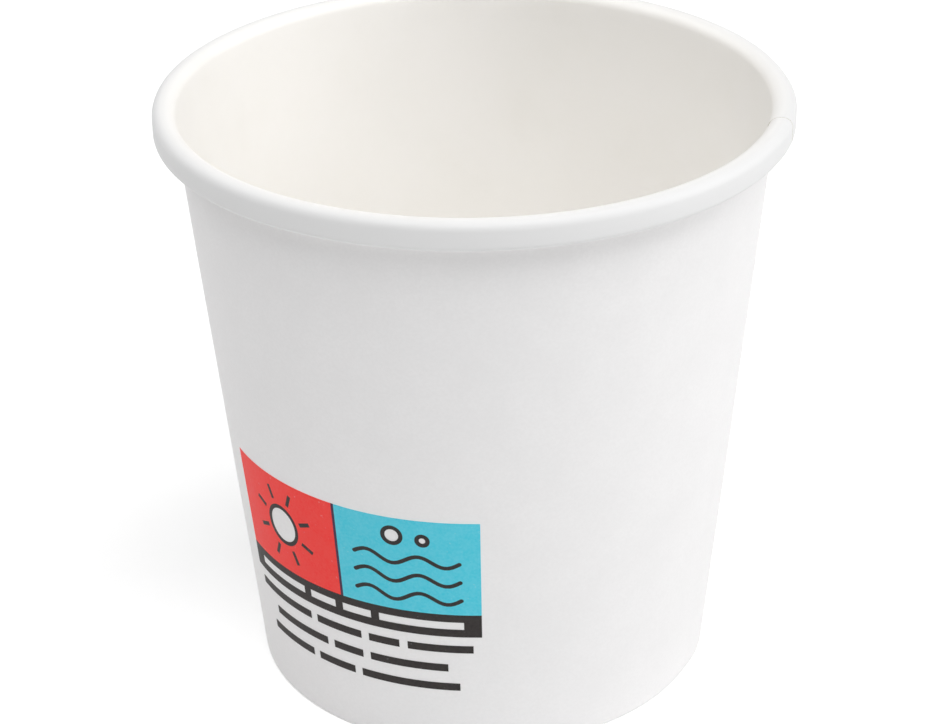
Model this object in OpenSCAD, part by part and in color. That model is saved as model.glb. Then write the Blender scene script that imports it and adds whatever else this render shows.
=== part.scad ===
// Single-wall paper cup, espresso size.
// A wrapped and lapped sidewall with a rolled rim and a folded foot holds a
// bottom disc by its skirt. Thin ink films carry a plain two-colour panel.
// Millimetres, +Z up, origin at the centre of the foot's resting circle.

/* [Overall] */
// Height from the foot to the top of the rolled rim
height = 62; // [50:0.5:95]
// Diameter over the rolled rim
rim_d = 63.4; // [60:0.1:72]
// Diameter of the wall where it meets the table
base_d = 47; // [42:0.1:52]

/* [Board] */
// Thickness of the sidewall board
board = 0.3; // [0.2:0.02:0.4]
// Thickness of the bottom disc's board
disc_board = 0.3; // [0.2:0.02:0.4]

/* [Rolled rim] */
// Width of the roll, measured along a radius
roll_w = 2.36; // [2.1:0.02:3]
// Height of the roll
roll_h = 2.85; // [2.6:0.05:4]
// Radius of the roll's outer shoulder
roll_shoulder = 0.9; // [0.7:0.05:1.1]
// Radius of the roll's two lower corners
roll_corner = 0.55; // [0.45:0.05:0.8]
// Length of the board's edge tucked up inside the roll
tuck = 1; // [0.3:0.1:1.3]
// Slit between the tucked edge and the wall
tuck_gap = 0.08; // [0.04:0.02:0.16]

/* [Foot] */
// Height of the wall's edge folded up inside the foot
hem_h = 5.6; // [4:0.2:9]
// Depth of the hollow under the bottom disc
recess = 6.2; // [5:0.2:11]
// Bend radius where the disc turns down into its skirt
skirt_bend = 0.6; // [0.45:0.05:1.2]

/* [Side seam] */
// Direction of the overlap's middle, counter-clockwise from +X
seam_at = -9; // [-30:1:60]
// Width of the glued overlap
lap_w = 6; // [4:0.5:9]
// Length over which the outer layer steps out over the inner one
ramp_w = 6; // [5:0.5:9]
// Share of the board's thickness left as a step once the seam is pressed
lap_step = 0.8; // [0.6:0.05:1]

/* [Printed panel] */
// Thickness of the ink films
ink = 0.05; // [0.03:0.01:0.08]
// Direction of the panel's left edge, counter-clockwise from +X
panel_from = -157; // [-170:0.5:-140]
// Width of the two colour fields together, along the wall
panel_w = 29.4; // [24:0.2:34]
// Height of the colour fields above the table
field_z = 16.8; // [15:0.1:25]
// Height of the colour fields
field_h = 11.1; // [9:0.1:13]
// Height of the dark band under the fields
band_h = 2.75; // [2:0.05:3.2]
// Height of the plain rules in and under the band
rule_h = 0.9; // [0.6:0.05:1.3]
// Distance from one row of rules to the next
rule_pitch = 2.4; // [1.9:0.05:2.5]
// Gap between two rules in a row
rule_gap = 0.9; // [0.5:0.1:1.4]
// Stroke of the drawn outlines
stroke = 0.45; // [0.3:0.05:0.6]
// Radius of the sun's white disc
sun_r = 1.9; // [1.4:0.1:2.2]
// Distance from the sun's centre to the tips of its rays
ray_reach = 4.5; // [4:0.1:4.8]
// Number of rays round the sun
rays = 8; // [6:1:12]
// Length of the wave lines, without their round ends
wave_l = 10.8; // [8:0.1:12]
// Height of a wave from trough to crest
wave_h = 1.1; // [0.6:0.1:1.4]

/* [Hidden] */
$fn = 144;

// Points on each quarter turn of a bend in the board
BEND_STEPS = 7;
// Shares of the lap's step at which the ramp leaves the wall and meets the lap
RAMP_START = 0.08;
RAMP_REACH = 0.9;
// Turn by which the parts of the wrapped sheet run on into each other
BITE = 0.4;
// Crests along a wave line
WAVE_TURNS = 2;
// Turn that a wave line's round end leaves off at each side of its half circle
CAP_SHORT = 20;
// Share of the overlap's foot that lies under the skirt
LAND_SHARE = 0.8;
// Length of tool used to trim a solid, beyond anything it meets
FAR = 4 * height;

PAPER_WHITE = [0.96, 0.96, 0.95];
COATED_WHITE = [0.95, 0.93, 0.90];
INK_RED = [0.89, 0.22, 0.21];
INK_BLUE = [0.31, 0.74, 0.83];
INK_BLACK = [0.16, 0.14, 0.14];

rim_r = rim_d / 2;
base_r = base_d / 2;
roll_r = roll_w / 2;

// Lean of the wall that runs from the foot into the roll's convex side
lean_x = rim_r - roll_r - base_r;
lean_z = height - roll_r;
lean = acos((roll_r - board) / norm([lean_x, lean_z])) - atan2(lean_z, lean_x);

up = [sin(lean), cos(lean)];
inward = [-cos(lean), sin(lean)];
facing = 180 - lean;

// Centres of the bends: the roll's top, shoulder and lower corners, and the foot's corners
roll_top = [rim_r - roll_r, height - roll_r];
shoulder = [rim_r - roll_shoulder, height - roll_shoulder];
corner_z = height - roll_h + roll_corner;
corner_out = [rim_r - roll_corner, corner_z];
corner_in = [wall_r(corner_z) + (roll_corner + tuck_gap) / cos(lean), corner_z];
foot_out = [base_r + board * tan(lean) - board / cos(lean), board];
foot_in = foot_out - [disc_board / cos(lean), 0];
hem_len = (hem_h - board) / cos(lean);

// The seam, as whole tenths of a degree about the axis, with its widths taken at mid height
mid_r = (rim_r + base_r) / 2;
lap_a = round(lap_w / mid_r * 1800 / PI) / 10;
ramp_a = round(ramp_w / mid_r * 1800 / PI) / 10;
ramp_from = seam_at - lap_a / 2 - ramp_a;
lap_shift = lap_step * board / cos(lean);
// The ramp turns about an axis of its own, so that it leaves the wall without a bend
ramp_start = RAMP_START * lap_shift;
ramp_shift = (RAMP_REACH - RAMP_START) * lap_shift;
ramp_axis = (2 * rim_r * ramp_shift + ramp_shift * ramp_shift)
    / (2 * (rim_r - (rim_r + ramp_shift) * cos(ramp_a)));

// The disc's top face, and the bend that turns it into the skirt
floor_z = recess + disc_board;
skirt_top = [wall_r(floor_z - skirt_bend) - (board + skirt_bend) / cos(lean),
    floor_z - skirt_bend];

// The panel, as angles about the axis, with its width taken at its middle
panel_r = wall_r(field_z);
panel_a = panel_w / panel_r * 180 / PI;
panel_mid = panel_from + panel_a / 2;
panel_to = panel_from + panel_a;
field_mid_z = field_z + field_h / 2;
gap_a = rule_gap / panel_r * 180 / PI;
// Heights of the wave lines from the field's middle, as shares of the field's height
WAVES = [-0.34, -0.14, 0.06];
// Bubbles above the waves: place from the field's middle and radius, as shares of its height
BUBBLES = [[-0.11, 0.31, 0.105], [0.17, 0.29, 0.07]];
// Rows of plain rules: ends as shares of the panel, and the rules' relative lengths
BAND_ROW = [0.06, 0.94, [7, 3, 3, 8]];
LOWER_ROWS = [
    [0.03, 0.97, [8, 5, 3, 6]],
    [0.12, 0.88, [7, 3, 7]],
    [0.08, 0.92, [6, 4, 9]]
];

// Radius of the wall's outer face at a height
function wall_r(z) = base_r + z * tan(lean);

// Points along a bend of the board about a centre, from one angle to another
function bend(c, r, a0, a1) =
    let (n = max(2, round(abs(a1 - a0) / 90 * BEND_STEPS)))
    [for (i = [0 : n]) let (a = a0 + (a1 - a0) * i / n) c + r * [cos(a), sin(a)]];

// A list of points, moved along a radius
function moved(points, x) = [for (p = points) p + [x, 0]];

// Sum of the first n numbers of a list
function sum_to(v, n) = n <= 0 ? 0 : v[n - 1] + sum_to(v, n - 1);

// The roll from its tucked edge to the top of the wall, at a depth under its coated face
function roll_face(depth) = concat(
    [corner_in + (roll_corner - depth) * inward + tuck * up],
    bend(corner_in, roll_corner - depth, facing, 270),
    bend(corner_out, roll_corner - depth, 270, 360),
    bend(shoulder, roll_shoulder - depth, 0, 90),
    bend(roll_top, roll_r - depth, 90, facing));

// The board's printed face: out of the roll, down the wall and round the foot's corner
function printed_face() = concat(roll_face(board), bend(foot_out, board, -lean, -90));

// The board's coated face: over the roll and down the inside of the wall
function coated_face() = roll_face(0);

// The edge folded up inside the foot, on its open side, and its top
function hem_face(shift = 0) = concat(
    moved(bend(foot_in, board, -90, facing - 360), -shift),
    [foot_in + board * inward + hem_len * up - [shift, 0], foot_in + hem_len * up]);

// The whole board in section
module wall_section() {
    polygon(concat(printed_face(), hem_face(), [foot_in, foot_out], reverse(coated_face())));
}

function reverse(v) = [for (i = [len(v) - 1 : -1 : 0]) v[i]];

// The board in section without the folded edge, ending under the skirt
module ramp_section() {
    land_end = foot_in[0] - (1 - LAND_SHARE) * board;
    polygon(concat(printed_face(), [[land_end, 0], [land_end, board], foot_out],
        reverse(coated_face())));
}

// The folded edge in section, with the part of the foot under the skirt
module hem_section() {
    polygon(concat([[foot_out[0], 0]], hem_face(), [foot_in, foot_out]));
}

// Both layers of the seam in section, pressed into one, with the roll closed
module lap_section() {
    polygon(concat(
        bend(roll_top, roll_r, facing, 90),
        moved(bend(shoulder, roll_shoulder, 90, 0), lap_shift),
        moved(bend(corner_out, roll_corner, 360, 270), lap_shift),
        [[wall_r(height - roll_h) + lap_shift, height - roll_h]],
        moved(bend(foot_out, board, -lean, -90), lap_shift),
        hem_face(lap_shift),
        [foot_in, foot_out]));
}

// The outer layer's way from inside the plain wall out over the inner layer and into the lap
module ramp() {
    difference() {
        translate([ramp_start - ramp_axis, 0, 0])
            rotate_extrude(angle = ramp_a + BITE, start = -BITE)
            translate([ramp_axis, 0]) ramp_section();
        rotate([0, 0, ramp_a + BITE]) translate([-FAR / 2, 0, -FAR / 2]) cube(FAR);
    }
}

// The wrapped sheet, from its plain wall round through the ramp to the lap
module sidewall() {
    color(PAPER_WHITE) rotate([0, 0, ramp_from]) {
        rotate_extrude(angle = 360 - lap_a - ramp_a + BITE, start = ramp_a + lap_a - BITE)
            wall_section();
        rotate_extrude(angle = ramp_a + 2 * BITE, start = -BITE) hem_section();
        rotate_extrude(angle = lap_a, start = ramp_a) lap_section();
        ramp();
    }
}

// Disc with its edge turned down as a skirt, held between the wall and the hem
module bottom() {
    color(COATED_WHITE) rotate_extrude() polygon(concat(
        [[0, floor_z]],
        bend(skirt_top, skirt_bend, 90, -lean),
        [foot_out, foot_in],
        bend(skirt_top, skirt_bend - disc_board, -lean, 90),
        [[0, floor_z - disc_board]]));
}

// A shell round the wall between two directions and two heights: a film of ink if left plain
module film(a0, a1, z0, z1, from = 0, to = ink) {
    rotate_extrude(angle = a1 - a0, start = a0) polygon([
        [wall_r(z0) + from, z0],
        [wall_r(z0) + to, z0],
        [wall_r(z1) + to, z1],
        [wall_r(z1) + from, z1]]);
}

// A flat drawing pushed through the wall at a direction and a height
module stamp(a, z) {
    reach = 6 * board;
    rotate([0, 0, a]) translate([wall_r(z) - reach, 0, z]) rotate([90, 0, 90])
        linear_extrude(2 * reach) children();
}

// Plain rules in a row: films, or thicker shells that cut the rules out of a film
module rule_row(row, z, cutter = false) {
    shares = row[2];
    room = (row[1] - row[0]) * panel_a - (len(shares) - 1) * gap_a;
    unit = room / sum_to(shares, len(shares));
    over = cutter ? ink : 0;
    for (i = [0 : len(shares) - 1]) {
        a = panel_from + row[0] * panel_a + unit * sum_to(shares, i) + i * gap_a;
        film(a, a + unit * shares[i], z - rule_h / 2, z + rule_h / 2, -over, ink + over);
    }
}

// Rays round the sun
module ray_marks() {
    for (i = [0 : rays - 1])
        rotate(360 / rays * (i + 0.5)) translate([sun_r + 2.3 * stroke, -stroke / 2])
            square([ray_reach - sun_r - 2.3 * stroke, stroke]);
}

// A point of the wavy line and its sideways direction, a share of the way along it
function wave_at(t) = [wave_l * (t - 0.5), wave_h / 2 * sin(WAVE_TURNS * 360 * t)];
function wave_side(t) =
    let (slope = WAVE_TURNS * PI * wave_h / wave_l * cos(WAVE_TURNS * 360 * t))
    [-slope, 1] / norm([slope, 1]);

// A wavy line of even stroke with round ends
module wave() {
    n = 15 * WAVE_TURNS;
    lean_0 = atan2(wave_side(0)[1], wave_side(0)[0]);
    lean_1 = atan2(wave_side(1)[1], wave_side(1)[0]);
    polygon(concat(
        [for (i = [0 : n]) wave_at(i / n) - stroke / 2 * wave_side(i / n)],
        bend(wave_at(1), stroke / 2, lean_1 - 180 + CAP_SHORT, lean_1 - CAP_SHORT),
        [for (i = [n : -1 : 0]) wave_at(i / n) + stroke / 2 * wave_side(i / n)],
        bend(wave_at(0), stroke / 2, lean_0 + CAP_SHORT, lean_0 + 180 - CAP_SHORT)));
}

// Wave lines, one under the other
module waves() {
    for (share = WAVES) translate([0, share * field_h]) wave();
}

// Outlined bubbles above the waves: discs, or their outlines alone
module bubbles(outline) {
    for (b = BUBBLES * field_h) translate([b[0], b[1]])
        difference() {
            circle(b[2]);
            if (outline) circle(b[2] - stroke);
        }
}

sun_a = (panel_from + panel_mid) / 2;
sea_a = (panel_mid + panel_to) / 2;

module print_red() {
    color(INK_RED) difference() {
        film(panel_from, panel_mid, field_z, field_z + field_h);
        stamp(sun_a, field_mid_z) circle(sun_r + stroke);
        stamp(sun_a, field_mid_z) ray_marks();
    }
}

module print_blue() {
    color(INK_BLUE) difference() {
        film(panel_mid, panel_to, field_z, field_z + field_h);
        stamp(sea_a, field_mid_z) bubbles(outline = false);
        stamp(sea_a, field_mid_z) waves();
    }
}

// Dark ink: the band with its rules left bare, the outlines and the rows of rules
module print_black() {
    band_mid_z = field_z - band_h / 2;
    color(INK_BLACK) {
        difference() {
            film(panel_from, panel_to, field_z - band_h, field_z);
            rule_row(BAND_ROW, band_mid_z, cutter = true);
        }
        intersection() {
            film(panel_from, panel_to, field_z, field_z + field_h);
            union() {
                stamp(sun_a, field_mid_z) difference() {
                    circle(sun_r + stroke);
                    circle(sun_r);
                }
                stamp(sun_a, field_mid_z) ray_marks();
                stamp(sea_a, field_mid_z) bubbles(outline = true);
                stamp(sea_a, field_mid_z) waves();
            }
        }
        for (i = [0 : len(LOWER_ROWS) - 1])
            rule_row(LOWER_ROWS[i], field_z - band_h - rule_pitch * (i + 0.65));
    }
}

sidewall();
bottom();
print_red();
print_blue();
print_black();
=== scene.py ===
"""Looks of the small paper cup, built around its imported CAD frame.

The sidewall is one wrapped sheet of board, swept round the axis from its inner cut edge to its
outer one, so the lap, the rolled rim and the folded foot come out as they do on a real cup.
Shapes are worked out in millimetres, with the sizes of the CAD part, and angles in radians
counter-clockwise from +X.
"""

from functools import cached_property
import math

import bmesh
import bpy
import numpy as np
from mathutils import Matrix, Vector
from mathutils.geometry import delaunay_2d_cdt


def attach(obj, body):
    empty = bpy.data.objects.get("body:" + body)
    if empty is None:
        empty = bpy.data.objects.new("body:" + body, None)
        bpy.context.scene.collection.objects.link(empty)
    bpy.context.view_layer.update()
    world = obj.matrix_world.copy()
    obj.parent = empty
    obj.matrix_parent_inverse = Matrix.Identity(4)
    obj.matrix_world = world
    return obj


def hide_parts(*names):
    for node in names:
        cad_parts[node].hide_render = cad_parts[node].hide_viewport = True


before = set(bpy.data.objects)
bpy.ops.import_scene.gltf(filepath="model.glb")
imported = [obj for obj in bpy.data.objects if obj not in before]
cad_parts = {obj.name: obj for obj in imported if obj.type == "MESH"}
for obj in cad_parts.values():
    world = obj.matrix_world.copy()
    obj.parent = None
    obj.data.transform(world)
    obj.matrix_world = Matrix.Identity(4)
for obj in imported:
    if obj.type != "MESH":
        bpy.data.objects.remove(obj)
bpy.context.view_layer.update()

MM = 0.001
BODY = "root"
# Width of the photograph and of the render
IMAGE_WIDTH = 950

# The cup, as in the CAD part
HEIGHT = 62.0
RIM_R = 63.4 / 2
BASE_R = 47.0 / 2
BOARD = 0.3
ROLL_R = 2.36 / 2
ROLL_H = 2.85
ROLL_SHOULDER = 0.9
ROLL_CORNER = 0.55
TUCK = 1.0
TUCK_GAP = 0.08
HEM_H = 5.6
RECESS = 6.2
SKIRT_BEND = 0.6
SEAM_AT = math.radians(-9)
LAP_W = 6.0
RAMP_W = 6.0
LAP_STEP = 0.8

# The printed panel, as in the CAD part
PANEL_FROM = math.radians(-157)
PANEL_W = 29.4
FIELD_Z = 16.8
FIELD_H = 11.1
BAND_H = 2.75
RULE_H = 0.9
RULE_PITCH = 2.4
RULE_GAP = 0.9
STROKE = 0.45
SUN_R = 1.9
RAY_REACH = 4.5
RAYS = 8
WAVE_L = 10.8
WAVE_H = 1.1
WAVE_TURNS = 2
WAVES = (-0.34, -0.14, 0.06)
BUBBLES = ((-0.11, 0.31, 0.105), (0.17, 0.29, 0.07))
BAND_ROW = (0.06, 0.94, (7, 3, 3, 8))
LOWER_ROWS = (
    (0.03, 0.97, (8, 5, 3, 6)),
    (0.12, 0.88, (7, 3, 7)),
    (0.08, 0.92, (6, 4, 9)),
)

LEAN_X = RIM_R - ROLL_R - BASE_R
LEAN_Z = HEIGHT - ROLL_R
LEAN = math.acos((ROLL_R - BOARD) / math.hypot(LEAN_X, LEAN_Z)) - math.atan2(LEAN_Z, LEAN_X)
SIN_LEAN, COS_LEAN, TAN_LEAN = math.sin(LEAN), math.cos(LEAN), math.tan(LEAN)
UP = np.array([SIN_LEAN, COS_LEAN])
INWARD = np.array([-COS_LEAN, SIN_LEAN])

# The seam: the ramp ends and the overlap starts at the sheet's inner cut edge
MID_R = (RIM_R + BASE_R) / 2
LAP_A = LAP_W / MID_R
RAMP_A = RAMP_W / MID_R
INNER_EDGE = SEAM_AT - LAP_A / 2
OUTER_EDGE = SEAM_AT + LAP_A / 2 + 2 * math.pi
LAP_SHIFT = LAP_STEP * BOARD / COS_LEAN

FOOT_OUT = np.array([BASE_R + BOARD * TAN_LEAN - BOARD / COS_LEAN, BOARD])
FOOT_IN = FOOT_OUT - [BOARD / COS_LEAN, 0]


def smoothstep(x):
    """0 to 1 as x goes from 0 to 1, level at both ends."""
    x = np.clip(x, 0, 1)
    return x * x * (3 - 2 * x)


def wall_r(z):
    """Radius of the wall's outer face at a height, on the true cone."""
    return BASE_R + z * TAN_LEAN


# Waves that grow up to the rim: size, waves in a turn and phase
RIM_WAVES = ((0.07, 2, 0.7), (0.03, 3, 2.1))
# Waves that are largest at mid height: size, waves in a turn, phase and its change with height
WALL_WAVES = ((0.02, 5, 0.0, 0.11), (0.012, 9, 1.3, -0.23))


def out_of_round(angle, z):
    """How far the wall stands outside its true cone: none at the foot, most at the rim."""
    k = np.clip(z / HEIGHT, 0, 1)
    at_rim = sum(size * np.cos(count * angle + phase) for size, count, phase in RIM_WAVES)
    on_wall = sum(size * np.sin(count * angle + twist * z + phase)
                  for size, count, phase, twist in WALL_WAVES)
    return k * at_rim + np.sin(math.pi * k) * on_wall


# Angle between two faces, in degrees, from which the edge between them is shaded sharp
SHARP_FROM = 40


def make_object(name, verts, faces, materials, material_of=None, node=None):
    """A smooth mesh object from points in millimetres, riding on the cup's one body."""
    mesh = bpy.data.meshes.new(name)
    mesh.from_pydata((np.asarray(verts) * MM).tolist(), [], [list(map(int, f)) for f in faces])
    for m in materials:
        mesh.materials.append(m)
    if material_of is not None:
        mesh.polygons.foreach_set("material_index", np.asarray(material_of, dtype=np.int32))
    bm = bmesh.new()
    bm.from_mesh(mesh)
    bmesh.ops.recalc_face_normals(bm, faces=bm.faces)
    bm.to_mesh(mesh)
    bm.free()
    mesh.polygons.foreach_set("use_smooth", np.ones(len(mesh.polygons), dtype=bool))
    mesh.set_sharp_from_angle(angle=math.radians(SHARP_FROM))
    obj = bpy.data.objects.new(name, mesh)
    bpy.context.scene.collection.objects.link(obj)
    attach(obj, BODY)
    if node:
        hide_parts(node)
    return obj


def grid_faces(rows, cols, start=0, wrap=False):
    """Quads between neighbouring points of a grid that is stored row by row."""
    r = np.arange(rows if wrap else rows - 1)
    i, j = np.meshgrid(r, np.arange(cols - 1), indexing="ij")
    a = start + i * cols + j
    b = start + (i + 1) % rows * cols + j
    return np.stack([a, b, b + 1, a + 1], -1).reshape(-1, 4)


# The sidewall: steps along the sheet's section, and the turn from one station to the next
CORNER_STEPS = 8
SHOULDER_STEPS = 10
TOP_STEPS = 10
WALL_STEPS = 40
FOOT_STEPS = 5
PLY_STEPS = 6
STATION = math.radians(1.0)
# Share of the lap's step that is left where the roll presses its layers together
ROLL_PRESS = 0.3
# Length of wall below the roll over which the lap opens to its full step
PRESS_FADE = 6.0
# How far the inner layer stands over the outer one on the roll, and its step at the cut edge
ROLL_LIP = 0.1
LIP_STEP = 0.03
# Radius inside the fold at the foot, which keeps its points apart
CREASE_R = 0.02
# Height by which the lap's inner layer clears the outer one at the foot
LAND_LIFT = 0.08
KNURL_DEPTH = 0.09
# Stations from one crest of the knurl to the next
KNURL_STATIONS = 4


def arc(centre, radius, a0, a1, steps):
    """Points along an arc, from one angle in degrees to another."""
    a = np.radians(np.linspace(a0, a1, steps + 1))
    return np.stack([centre[0] + radius * np.cos(a), centre[1] + radius * np.sin(a)], 1)


def between(a, b, steps):
    """Points from a to b without either end."""
    t = np.arange(1, steps)[:, None] / steps
    return np.asarray(a) * (1 - t) + np.asarray(b) * t


def sheet_section():
    """The board in section: printed and coated points opposite each other, and their weights.

    They run from the edge tucked inside the roll, round the roll, down the wall and round the
    foot to the edge folded up inside it. The weights say how far each pair moves outwards in
    the lap (1, less where the roll is pressed, -1 on the fold's side), and how much it takes of
    the roll's lip, of the foot's lift and of the knurl.
    """
    facing = 180 - math.degrees(LEAN)
    corner_z = HEIGHT - ROLL_H + ROLL_CORNER
    tucked = np.array([wall_r(corner_z) + (ROLL_CORNER + TUCK_GAP) / COS_LEAN, corner_z])
    shoulder = (RIM_R - ROLL_SHOULDER, HEIGHT - ROLL_SHOULDER)
    ply = (HEM_H - BOARD) / COS_LEAN
    sides = []
    for depth, crease in ((BOARD, BOARD), (0, CREASE_R)):
        low = ROLL_CORNER - depth
        roll = np.concatenate([
            arc(tucked, low, facing, 270, CORNER_STEPS),
            arc((RIM_R - ROLL_CORNER, corner_z), low, 270, 360, CORNER_STEPS),
            arc(shoulder, ROLL_SHOULDER - depth, 0, 90, SHOULDER_STEPS),
            arc((RIM_R - ROLL_R, HEIGHT - ROLL_R), ROLL_R - depth, 90, facing, TOP_STEPS)])
        foot_out = arc(FOOT_OUT, crease, -math.degrees(LEAN), -90, FOOT_STEPS)
        foot_in = arc(FOOT_IN, crease, -90, facing - 360, FOOT_STEPS)
        ply_end = FOOT_IN + crease * INWARD + ply * UP
        sides.append([
            (tucked + low * INWARD + TUCK * UP)[None],
            roll,
            between(roll[-1], foot_out[0], WALL_STEPS),
            foot_out,
            foot_in,
            between(foot_in[-1], ply_end, PLY_STEPS),
            ply_end[None],
        ])
    sizes = [len(part) for part in sides[0]]
    outward, rolled, lifted, knurled = (np.repeat(weights, sizes).astype(float) for weights in (
        (ROLL_PRESS, ROLL_PRESS, 1, 1, -1, -1, -1), (1, 1, 0, 0, 0, 0, 0),
        (0, 0, 0, 1, 1, 0, 0), (0, 0, 0, 0, 0, 1, 0)))
    wall_start = sizes[0] + sizes[1]
    wall = slice(wall_start, wall_start + sizes[2])
    below_roll = (roll[-1][1] - sides[1][2][:, 1]) / PRESS_FADE
    outward[wall] = ROLL_PRESS + (1 - ROLL_PRESS) * smoothstep(below_roll)
    rolled[wall_start - TOP_STEPS - 1:wall_start] = \
        1 - smoothstep(np.linspace(0, 1, TOP_STEPS + 1))
    return np.concatenate(sides[0]), np.concatenate(sides[1]), outward, rolled, lifted, knurled


def sheet_offset(angle):
    """How far the sheet stands off the plain wall: none, then up the ramp and over the lap."""
    ramp_start = INNER_EDGE + 2 * math.pi - RAMP_A
    return LAP_SHIFT * smoothstep((angle - ramp_start) / RAMP_A)


def build_sidewall(materials):
    """The wrapped sheet as a closed mesh with board, coating and cut edges."""
    printed, coated, outward, rolled, lifted, knurled = sheet_section()
    stations = int(round((OUTER_EDGE - INNER_EDGE) / STATION))
    angle = np.linspace(INNER_EDGE, OUTER_EDGE, stations + 1)[:, None]
    offset = sheet_offset(angle)
    inner_layer = 1 - smoothstep((angle - (OUTER_EDGE - 2 * math.pi)) / RAMP_A)
    outer_layer = offset / LAP_SHIFT
    turns = np.arange(stations + 1)[:, None] / KNURL_STATIONS
    knurl = KNURL_DEPTH / 2 * (np.cos(2 * math.pi * turns) - 1)
    rows, cols = stations + 1, len(printed)
    sheets = []
    for face in (printed, coated):
        z = face[None, :, 1] + LAND_LIFT * lifted * inner_layer - LIP_STEP * rolled * outer_layer
        r = face[None, :, 0] + outward * offset + ROLL_LIP * rolled * inner_layer \
            + knurled * knurl + out_of_round(angle, z)
        sheets.append(np.stack([r * np.cos(angle), r * np.sin(angle), z * np.ones_like(r)], -1))
    verts = np.concatenate([s.reshape(-1, 3) for s in sheets])
    count = rows * cols
    front = grid_faces(rows, cols)
    back = grid_faces(rows, cols, start=count)
    i = np.arange(rows - 1) * cols
    j = np.arange(cols - 1)
    last = (rows - 1) * cols
    edges = [np.stack([i + c, i + cols + c, i + cols + c + count, i + c + count], -1)
             for c in (0, cols - 1)]
    ends = [np.stack([e + j, e + j + 1, e + j + 1 + count, e + j + count], -1) for e in (0, last)]
    cut = np.concatenate(edges + ends)
    faces = np.concatenate([front, back, cut])
    material_of = np.repeat([0, 1, 2], [len(front), len(back), len(cut)])
    return make_object("cup_sidewall", verts, faces, materials, material_of,
                       node="sidewall")


# The bottom: rings of the disc, steps down its bend and skirt, and stations in a turn
DISC_RINGS = 26
BEND_STEPS = 8
SKIRT_STEPS = 6
DISC_STATIONS = 240
# How far the disc's middle bows down, and the share of its radius that takes part
DISC_BOW = 0.12
BOW_SHARE = 0.86
# Gap between the skirt and the board on each side of it
SKIRT_SLACK = 0.01


def build_bottom(materials):
    """The disc and skirt as one closed revolve, with the disc's faint bow."""
    floor_z = RECESS + BOARD
    bend_z = floor_z - SKIRT_BEND
    bend = np.array([wall_r(bend_z) - (BOARD + SKIRT_BEND) / COS_LEAN, bend_z])
    lean = math.degrees(LEAN)
    radii = np.linspace(0, bend[0], DISC_RINGS + 1)[1:-1]

    def disc(z):
        """One face of the disc, from its middle to the bend."""
        bow = DISC_BOW * smoothstep(1 - radii / (BOW_SHARE * bend[0]))
        return np.stack([radii, z - bow], 1)

    slack = SKIRT_SLACK * INWARD
    outer = arc(bend, SKIRT_BEND, 90, -lean, BEND_STEPS)
    inner = arc(bend, SKIRT_BEND - BOARD, -lean, 90, BEND_STEPS)
    skirt_out = between(outer[-1], FOOT_OUT, SKIRT_STEPS) + slack
    skirt_in = between(FOOT_IN, inner[0], SKIRT_STEPS) - slack
    section = np.concatenate([
        disc(floor_z), outer, skirt_out, [FOOT_OUT + slack, FOOT_IN - slack], skirt_in,
        inner, disc(floor_z - BOARD)[::-1]])
    coated = len(radii) + len(outer) + len(skirt_out)
    rows, cols = DISC_STATIONS, len(section)
    angle = np.arange(rows)[:, None] * 2 * math.pi / rows
    r, z = section[None, :, 0], section[None, :, 1]
    ring = np.stack([r * np.cos(angle), r * np.sin(angle), z * np.ones_like(angle)], -1)
    verts = np.concatenate([
        ring.reshape(-1, 3),
        [[0, 0, floor_z - DISC_BOW], [0, 0, floor_z - BOARD - DISC_BOW]]])
    quads = grid_faces(rows, cols, wrap=True)
    top, under = rows * cols, rows * cols + 1
    spokes = np.arange(rows)
    following = (spokes + 1) % rows
    fans = [[top, a * cols, b * cols] for a, b in zip(spokes, following)] \
        + [[under, a * cols + cols - 1, b * cols + cols - 1] for a, b in zip(spokes, following)]
    column = np.tile(np.arange(cols - 1), rows)
    material_of = np.concatenate([
        np.where(column < coated, 0, np.where(column == coated, 2, 1)),
        np.repeat([0, 1], rows)])
    return make_object("cup_bottom", verts, quads.tolist() + fans, materials, material_of,
                       node="bottom")


# The printed panel: one flat triangulation, wrapped on the wall and split by ink
PANEL_R = wall_r(FIELD_Z)
PANEL_A = PANEL_W / PANEL_R
PANEL_MID = PANEL_FROM + PANEL_A / 2
PANEL_TO = PANEL_FROM + PANEL_A
FIELD_MID_Z = FIELD_Z + FIELD_H / 2
GAP_A = RULE_GAP / PANEL_R
# Spacing of the panel's points, and the distance at which two of them become one
GRID = 0.55
MERGE = 1e-5
# Heights of an ink film's two faces above the wall
INK_FROM, INK_TO = 0.004, 0.028
# Width of the strip where the red and blue inks overlap
OVERPRINT = 0.3
# Distance from the sun's white disc to the start of a ray, in strokes
RAY_GAP = 2.3
# Points in each turn of a wave line, and steps round its end
WAVE_STEPS = 15
CAP_STEPS = 6
# Turn in degrees that the round end leaves off at each side of its half circle
CAP_SHORT = 20
# How far the first of the lower rows of rules lies under the band, as a share of their pitch
FIRST_ROW = 0.65


def flat(angle, z):
    """A point of the wall as a point of the flat panel."""
    return np.stack(np.broadcast_arrays((angle - PANEL_MID) * PANEL_R, z), -1).astype(float)


def box_loop(a0, a1, z0, z1):
    """The outline of a patch of the wall, with points close enough to wrap smoothly."""
    n = max(2, int((a1 - a0) * PANEL_R / GRID))
    a = np.linspace(a0, a1, n + 1)
    m = max(1, int((z1 - z0) / GRID))
    z = np.linspace(z0, z1, m + 1)
    return np.concatenate([
        flat(a, z0), flat(a1, z[1:]), flat(a[::-1], z1)[1:], flat(a0, z[::-1])[1:-1]])


def stamped(points, angle, z):
    """A flat drawing pushed onto the wall at a direction and a height."""
    points = np.asarray(points)
    height = z + points[:, 1]
    return flat(angle + np.arcsin(points[:, 0] / wall_r(height)), height)


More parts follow.
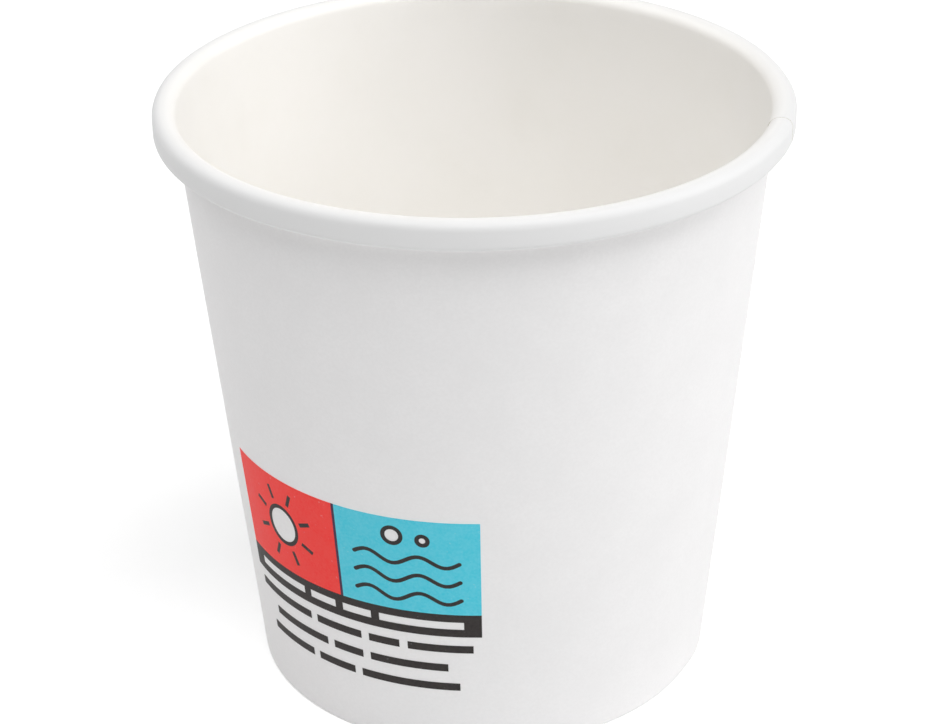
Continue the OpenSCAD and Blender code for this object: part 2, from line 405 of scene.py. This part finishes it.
def circle(x, y, r, n=40):
    """A circle, as an outline."""
    a = np.arange(n) * 2 * math.pi / n
    return np.stack([x + r * np.cos(a), y + r * np.sin(a)], 1)


def ray_loops():
    """Rays round the sun, as outlines."""
    loops = []
    inner, outer = SUN_R + RAY_GAP * STROKE, RAY_REACH
    for i in range(RAYS):
        a = 2 * math.pi / RAYS * (i + 0.5)
        shape = np.array([[inner, -STROKE / 2], [outer, -STROKE / 2],
                          [outer, STROKE / 2], [inner, STROKE / 2]])
        turn = np.array([[math.cos(a), math.sin(a)], [-math.sin(a), math.cos(a)]])
        loops.append(shape @ turn)
    return loops


def wave_loop():
    """A wavy line of even stroke with round ends, as an outline."""
    t = np.linspace(0, 1, WAVE_STEPS * WAVE_TURNS + 1)
    phase = WAVE_TURNS * 2 * math.pi * t
    points = np.stack([WAVE_L * (t - 0.5), WAVE_H / 2 * np.sin(phase)], 1)
    slope = WAVE_TURNS * math.pi * WAVE_H / WAVE_L * np.cos(phase)
    side = np.stack([-slope, np.ones_like(slope)], 1) / np.hypot(slope, 1)[:, None]
    start, end = (math.degrees(math.atan2(s[1], s[0])) for s in (side[0], side[-1]))
    near, far = CAP_SHORT, 180 - CAP_SHORT
    return np.concatenate([
        points - STROKE / 2 * side,
        arc(points[-1], STROKE / 2, end - far, end - near, CAP_STEPS),
        (points + STROKE / 2 * side)[::-1],
        arc(points[0], STROKE / 2, start + near, start + far, CAP_STEPS)])


def rule_loops(row, z):
    """A row of plain rules, as outlines."""
    start, end, shares = row
    room = (end - start) * PANEL_A - (len(shares) - 1) * GAP_A
    unit = room / sum(shares)
    loops = []
    for i, share in enumerate(shares):
        a = PANEL_FROM + start * PANEL_A + unit * sum(shares[:i]) + i * GAP_A
        loops.append(box_loop(a, a + unit * share, z - RULE_H / 2, z + RULE_H / 2))
    return loops


def inside(points, loop):
    """Which points lie inside a closed outline."""
    x, y = points[:, 0, None], points[:, 1, None]
    x0, y0 = loop[:, 0], loop[:, 1]
    x1, y1 = np.roll(x0, -1), np.roll(y0, -1)
    rising = np.where(y1 == y0, 1, y1 - y0)
    crosses = ((y0 > y) != (y1 > y)) & (x < (x1 - x0) * (y - y0) / rising + x0)
    return crosses.sum(1) % 2 == 1


def inside_any(points, loops):
    """Which points lie inside at least one of several closed outlines."""
    hit = np.zeros(len(points), dtype=bool)
    for loop in loops:
        hit |= inside(points, loop)
    return hit


def panel_shapes():
    """Every outline in the panel, by what it is."""
    sun_a = (PANEL_FROM + PANEL_MID) / 2
    sea_a = (PANEL_MID + PANEL_TO) / 2
    seam_a = OVERPRINT / 2 / PANEL_R
    field_top = FIELD_Z + FIELD_H
    row_heights = [FIELD_Z - BAND_H - RULE_PITCH * (i + FIRST_ROW) for i in range(len(LOWER_ROWS))]
    bubbles = [np.array(b) * FIELD_H for b in BUBBLES]
    return {
        "red": [box_loop(PANEL_FROM, PANEL_MID, FIELD_Z, field_top)],
        "blue": [box_loop(PANEL_MID, PANEL_TO, FIELD_Z, field_top)],
        "overprint": [box_loop(PANEL_MID - seam_a, PANEL_MID + seam_a, FIELD_Z, field_top)],
        "band": [box_loop(PANEL_FROM, PANEL_TO, FIELD_Z - BAND_H, FIELD_Z)],
        "band_rules": rule_loops(BAND_ROW, FIELD_Z - BAND_H / 2),
        "rules": [loop for row, z in zip(LOWER_ROWS, row_heights) for loop in rule_loops(row, z)],
        "sun_rim": [stamped(circle(0, 0, SUN_R + STROKE), sun_a, FIELD_MID_Z)],
        "sun": [stamped(circle(0, 0, SUN_R), sun_a, FIELD_MID_Z)],
        "rays": [stamped(loop, sun_a, FIELD_MID_Z) for loop in ray_loops()],
        "waves": [stamped(wave_loop() + [0, share * FIELD_H], sea_a, FIELD_MID_Z)
                  for share in WAVES],
        "bubble_rims": [stamped(circle(x, y, r), sea_a, FIELD_MID_Z) for x, y, r in bubbles],
        "bubbles": [stamped(circle(x, y, r - STROKE), sea_a, FIELD_MID_Z)
                    for x, y, r in bubbles],
    }


def triangulate(shapes):
    """One triangulation of the flat panel that respects every outline in it."""
    verts, edges = [], []
    for loops in shapes.values():
        for loop in loops:
            first = len(verts)
            verts.extend(loop.tolist())
            edges.extend((first + k, first + (k + 1) % len(loop)) for k in range(len(loop)))
    lowest = min(v[1] for v in verts)
    xs = np.arange(-PANEL_W / 2, PANEL_W / 2, GRID) + GRID / 2
    zs = np.arange(lowest, FIELD_Z + FIELD_H, GRID) + GRID / 2
    verts.extend([float(x), float(z)] for z in zs for x in xs)
    points, _, faces, *_ = delaunay_2d_cdt([Vector(v) for v in verts], edges, [], 0, MERGE)
    return np.array([p[:] for p in points]), np.array(faces)


def wrapped(points, lift):
    """Flat panel points put on the wall, a little outside it."""
    angle = points[:, 0] / PANEL_R + PANEL_MID
    z = points[:, 1]
    r = wall_r(z) + out_of_round(angle, z) + lift
    return np.stack([r * np.cos(angle), r * np.sin(angle), z], 1)


def film(name, points, triangles, materials, material_of, node):
    """A closed film of ink over some of the panel's triangles."""
    used, index = np.unique(triangles, return_inverse=True)
    tri = index.reshape(-1, 3)
    pts = points[used]
    n = len(pts)
    directed = np.concatenate([tri[:, [0, 1]], tri[:, [1, 2]], tri[:, [2, 0]]])
    owner = np.tile(np.arange(len(tri)), 3)
    known = set(map(tuple, directed.tolist()))
    rim = [(a, b, o) for (a, b), o in zip(directed.tolist(), owner) if (b, a) not in known]
    sides = [[a, b, b + n, a + n] for a, b, _ in rim]
    faces = tri.tolist() + (tri[:, ::-1] + n).tolist() + sides
    colours = np.concatenate([material_of, material_of, [material_of[o] for _, _, o in rim]])
    verts = np.concatenate([wrapped(pts, INK_TO), wrapped(pts, INK_FROM)])
    return make_object(name, verts, faces, materials, colours, node=node)


def build_panel(red, blue, black, overprint):
    """The three ink films, each in place of its CAD node."""
    shapes = panel_shapes()
    points, triangles = triangulate(shapes)
    middle = points[triangles].mean(1)
    within = {name: inside_any(middle, loops) for name, loops in shapes.items()}
    outlines = within["rays"] | (within["sun_rim"] & ~within["sun"]) \
        | within["waves"] | (within["bubble_rims"] & ~within["bubbles"])
    is_black = (within["band"] & ~within["band_rules"]) | within["rules"] | outlines
    is_red = within["red"] & ~within["sun_rim"] & ~within["rays"]
    is_blue = within["blue"] & ~within["bubble_rims"] & ~within["waves"]
    strip = within["overprint"].astype(int)
    film("panel_red", points, triangles[is_red], [red, overprint], strip[is_red],
         "print_red")
    film("panel_blue", points, triangles[is_blue], [blue, overprint], strip[is_blue],
         "print_blue")
    film("panel_black", points, triangles[is_black], [black], np.zeros(is_black.sum(), int),
         "print_black")


def linear(*srgb):
    """Linear colour from 0-255 sRGB values."""
    out = []
    for c in srgb:
        c /= 255
        out.append(c / 12.92 if c <= 0.04045 else ((c + 0.055) / 1.055) ** 2.4)
    return (*out, 1.0)


class Nodes:
    """The node tree of a material or a world, with short ways to add and join nodes."""

    def __init__(self, owner, output="ShaderNodeOutputMaterial"):
        self.owner = owner
        self.tree = owner.node_tree
        self.tree.nodes.clear()
        self.output = self.tree.nodes.new(output)

    @cached_property
    def place(self):
        """Object coordinates."""
        return self.add("ShaderNodeTexCoord").outputs["Object"]

    def seen_directly(self):
        """1 where the camera sees the surface, also by way of a reflection or of glass."""
        path = self.add("ShaderNodeLightPath").outputs
        seen = self.combine("MAXIMUM", path["Is Camera Ray"], path["Is Glossy Ray"])
        return self.combine("MAXIMUM", seen, path["Is Transmission Ray"])

    def add(self, kind, inputs=None, **settings):
        """A new node, with its settings, and its inputs as values or as other nodes' outputs."""
        node = self.tree.nodes.new(kind)
        for key, value in settings.items():
            setattr(node, key, value)
        for key, value in (inputs or {}).items():
            self.set(node, key, value)
        return node

    def set(self, node, key, value):
        """Give an input a value, or join another node's output to it."""
        if isinstance(value, bpy.types.NodeSocket):
            self.tree.links.new(value, node.inputs[key])
        else:
            node.inputs[key].default_value = value

    def scaled(self, x, y, z):
        """Object coordinates stretched along each axis."""
        return self.add("ShaderNodeMapping", {"Vector": self.place, "Scale": (x, y, z)}).outputs[0]

    def radius(self):
        """Distance from the cup's axis, in metres."""
        level = self.scaled(1, 1, 0)
        return self.add("ShaderNodeVectorMath", {0: level}, operation="LENGTH").outputs["Value"]

    def noise(self, scale, detail=3.0, rough=0.5, vector=None, distortion=0.0):
        """Noise whose scale is in features per metre."""
        return self.add("ShaderNodeTexNoise", {
            "Vector": vector or self.place, "Scale": scale, "Detail": detail,
            "Roughness": rough, "Distortion": distortion}).outputs["Fac"]

    def ramp(self, value, low, high, out_low=0.0, out_high=1.0):
        """A value stretched from low and high to two others, and held at them beyond."""
        return self.add("ShaderNodeMapRange", {
            "Value": value, "From Min": low, "From Max": high,
            "To Min": out_low, "To Max": out_high}).outputs[0]

    def mix(self, factor, a, b):
        """A colour between a and b."""
        return self.add("ShaderNodeMix", {0: factor, 6: a, 7: b}, data_type="RGBA").outputs[2]

    def combine(self, operation, a, b):
        """Two values joined by arithmetic."""
        return self.add("ShaderNodeMath", {0: a, 1: b}, operation=operation).outputs[0]

    def bump(self, height, distance, strength, normal=None):
        """A normal that follows a height, whose distance is in metres, on top of another."""
        inputs = {"Height": height, "Distance": distance, "Strength": strength}
        if normal is not None:
            inputs["Normal"] = normal
        return self.add("ShaderNodeBump", inputs).outputs[0]

    def finish(self, **inputs):
        """The shader, joined to the output, and the material it belongs to."""
        shader = self.add("ShaderNodeBsdfPrincipled", {
            key.replace("_", " "): value for key, value in inputs.items()})
        self.tree.links.new(shader.outputs[0], self.output.inputs["Surface"])
        return self.owner


# Distances from the cup's axis, in metres, over which the roll's outer side is painted grey as
# shade and made duller
ROLL_SHADE_RADII = (0.0295, 0.0314)
# Each ink: its full and its thin colour, and how far its pinholes show the board
INKS = {
    "ink_red": (linear(251, 54, 51), linear(252, 84, 78), 0.2),
    "ink_blue": (linear(66, 203, 225), linear(112, 216, 235), 0.2),
    "ink_black": (linear(37, 33, 33), linear(60, 55, 53), 0.08),
    "ink_overprint": (linear(58, 38, 62), linear(82, 56, 84), 0.05),
}


def material_nodes(name):
    """The empty node tree of a new material."""
    material = bpy.data.materials.new(name)
    material.use_nodes = True
    return Nodes(material)


def fibre_height(n):
    """Felted fibres: fine crossing streaks over the board's soft unevenness."""
    fine = n.noise(2600, detail=4, rough=0.6)
    streaks = n.noise(900, detail=3, rough=0.6, vector=n.scaled(1, 1, 0.35), distortion=1.5)
    return n.combine("ADD", fine, streaks)


def board_material():
    """Uncoated outer face of the board: matte, faintly mottled, felted."""
    n = material_nodes("board_printed_face")
    cloud = n.ramp(n.noise(160, detail=5, rough=0.6), 0.3, 0.7)
    colour = n.mix(cloud, linear(241, 240, 240), linear(245, 244, 244))
    speck = n.ramp(n.noise(3200, detail=2), 0.35, 0.65)
    colour = n.mix(n.combine("MULTIPLY", speck, 0.35), colour, linear(236, 235, 235))
    wave = n.bump(n.noise(70, detail=2), 0.00012, 0.5)
    return n.finish(Base_Color=colour, Roughness=n.ramp(cloud, 0, 1, 0.56, 0.66),
                    Normal=n.bump(fibre_height(n), 0.00001, 0.5, wave))


def coated_material():
    """Inner face and rim: board with a thin smooth coating; the roll's outer side is painted grey
    as shade and made duller.
    """
    n = material_nodes("board_coated_face")
    cloud = n.ramp(n.noise(120, detail=5, rough=0.6), 0.3, 0.7)
    colour = n.mix(cloud, linear(249, 247, 243), linear(252, 250, 247))
    # Painted shade: the roll's outer side is greyed towards (229, 229, 229), darkest at its
    # outermost radius, and the coating is made rougher there
    roll_shade_and_dulling = n.ramp(n.radius(), *ROLL_SHADE_RADII)
    colour = n.mix(roll_shade_and_dulling, colour, linear(229, 229, 229))
    peel = n.bump(n.noise(420, detail=3, rough=0.55), 0.000025, 0.5)
    duller = n.combine("MULTIPLY", roll_shade_and_dulling, 0.1)
    rough = n.combine("ADD", n.ramp(cloud, 0, 1, 0.38, 0.46), duller)
    return n.finish(Base_Color=colour, Roughness=rough,
                    Normal=n.bump(fibre_height(n), 0.000006, 0.4, peel))


def raw_material():
    """Uncoated underside of the disc."""
    n = material_nodes("board_raw_face")
    cloud = n.ramp(n.noise(260, detail=5, rough=0.7), 0.3, 0.7)
    colour = n.mix(cloud, linear(236, 233, 227), linear(242, 240, 235))
    speck = n.ramp(n.noise(2800, detail=2), 0.35, 0.65)
    colour = n.mix(n.combine("MULTIPLY", speck, 0.4), colour, linear(226, 221, 211))
    return n.finish(Base_Color=colour, Roughness=0.8,
                    Normal=n.bump(fibre_height(n), 0.000014, 0.7))


def edge_material():
    """Cut edge of the board: layers of fibre."""
    n = material_nodes("board_cut_edge")
    layers = n.ramp(n.noise(5200, detail=4, rough=0.7, vector=n.scaled(1, 1, 0.2)), 0.35, 0.65)
    colour = n.mix(layers, linear(214, 207, 193), linear(238, 234, 226))
    return n.finish(Base_Color=colour, Roughness=0.9,
                    Normal=n.bump(layers, 0.00002, 0.7))


def ink_material(name, full, thin, specks):
    """Flexo ink: a faintly mottled solid with pinholes where the board shows through."""
    n = material_nodes(name)
    mottle = n.ramp(n.noise(700, detail=4, rough=0.6), 0.3, 0.7)
    grain = n.ramp(n.noise(3400, detail=2, rough=0.5), 0.3, 0.7)
    colour = n.mix(n.combine("MULTIPLY", mottle, 0.5), full, thin)
    colour = n.mix(n.combine("MULTIPLY", grain, 0.5), colour, thin)
    pinholes = n.ramp(n.noise(2600, detail=1), 0.72, 0.82)
    colour = n.mix(n.combine("MULTIPLY", pinholes, specks), colour, linear(236, 236, 238))
    return n.finish(Base_Color=colour, Roughness=n.ramp(mottle, 0, 1, 0.48, 0.6),
                    Specular_IOR_Level=0.2, Normal=n.bump(fibre_height(n), 0.000008, 0.5))


# Floor, light and camera, in metres and degrees
FLOOR_SIZE = 4.0
FLOOR_GREY = 0.9
# How far the floor lies under the foot, so that the two don't share a plane
FLOOR_DROP = 0.00003
# Light that the floor adds to reach white in the camera
FLOOR_GLOW = 0.28
WORLD_LIGHT = 0.2
LAMP_SIZE = 0.8
LAMP_DISTANCE = 1.0
LAMP_AIM = Vector((0, 0, 0.03))
# Each lamp's direction, to the right of the photograph's camera and up, and its watts
LAMPS = {
    "side_light": (90, 25, 3.9),
    "front_light": (0, 60, 4.9),
    "key_light": (60, 60, 2.6),
    "back_light": (-120, 45, 3.3),
}
# The camera's distance from the origin, its elevation there, and its yaw, pitch and roll
CAMERA_DISTANCE = 0.3071
CAMERA_ABOVE = 32.69
CAMERA_TURN = (-0.070, 27.410, -1.013)
# Focal length in pixels of the photograph
FOCAL_PX = 2803
# Width of Blender's sensor, in its own millimetres
SENSOR_WIDTH = 36
CLIP_START = 0.01


def add_floor():
    """A plain pale floor that is white to the camera and keeps the cup's shadow."""
    half = FLOOR_SIZE / 2
    mesh = bpy.data.meshes.new("floor")
    mesh.from_pydata([(x, y, -FLOOR_DROP) for x, y in
                      ((-half, -half), (half, -half), (half, half), (-half, half))],
                     [], [(0, 1, 2, 3)])
    floor = bpy.data.objects.new("floor", mesh)
    bpy.context.scene.collection.objects.link(floor)
    n = material_nodes("floor_white")
    shine = n.combine("MULTIPLY", n.seen_directly(), FLOOR_GLOW)
    grey = (FLOOR_GREY, FLOOR_GREY, FLOOR_GREY, 1)
    matte = n.add("ShaderNodeBsdfDiffuse", {"Color": grey})
    glow = n.add("ShaderNodeEmission", {"Strength": shine})
    both = n.add("ShaderNodeAddShader", {0: matte.outputs[0], 1: glow.outputs[0]})
    n.tree.links.new(both.outputs[0], n.output.inputs["Surface"])
    mesh.materials.append(n.owner)


def add_lamp(name, azimuth, elevation, energy):
    """A soft round lamp, aimed at the cup's middle."""
    a, e = math.radians(azimuth), math.radians(elevation)
    away = Vector((math.sin(a) * math.cos(e), -math.cos(a) * math.cos(e), math.sin(e)))
    lamp = bpy.data.lights.new(name, "AREA")
    lamp.shape = "DISK"
    lamp.size = LAMP_SIZE
    lamp.energy = energy
    obj = bpy.data.objects.new(name, lamp)
    obj.location = LAMP_AIM + LAMP_DISTANCE * away
    obj.rotation_euler = away.to_track_quat("Z", "Y").to_euler()
    bpy.context.scene.collection.objects.link(obj)


def add_world():
    """An even white surround, at full strength to the camera and in reflections."""
    world = bpy.data.worlds.new("surround")
    world.use_nodes = True
    bpy.context.scene.world = world
    n = Nodes(world, "ShaderNodeOutputWorld")
    shade = n.add("ShaderNodeMix", {0: n.seen_directly(), 2: WORLD_LIGHT, 3: 1.0},
                  data_type="FLOAT")
    back = n.add("ShaderNodeBackground", {"Strength": shade.outputs[0]})
    n.tree.links.new(back.outputs[0], n.output.inputs["Surface"])


def add_camera():
    """The photograph's camera, found from the cup's rim, walls and base in it."""
    above = math.radians(CAMERA_ABOVE)
    yaw, pitch, roll = (math.radians(a) for a in CAMERA_TURN)
    ahead = Vector((math.sin(yaw) * math.cos(pitch), math.cos(yaw) * math.cos(pitch),
                    -math.sin(pitch)))
    level = Vector((math.cos(yaw), -math.sin(yaw), 0))
    up = level.cross(ahead)
    right = math.cos(roll) * level + math.sin(roll) * up
    top = -math.sin(roll) * level + math.cos(roll) * up
    camera = bpy.data.cameras.new("camera")
    camera.sensor_width = SENSOR_WIDTH
    camera.lens = FOCAL_PX / IMAGE_WIDTH * SENSOR_WIDTH
    camera.clip_start = CLIP_START
    obj = bpy.data.objects.new("camera", camera)
    turn = Matrix((right, top, -ahead)).transposed().to_4x4()
    place = CAMERA_DISTANCE * Vector((0, -math.cos(above), math.sin(above)))
    obj.matrix_world = Matrix.Translation(place) @ turn
    bpy.context.scene.collection.objects.link(obj)
    bpy.context.scene.camera = obj


board = board_material()
coated = coated_material()
raw = raw_material()
edge = edge_material()
build_sidewall([board, coated, edge])
build_bottom([coated, raw, edge])
build_panel(*(ink_material(name, *ink) for name, ink in INKS.items()))
add_floor()
add_world()
for lamp_name, lamp in LAMPS.items():
    add_lamp(lamp_name, *lamp)
add_camera()
bpy.context.scene.view_settings.view_transform = "Standard"
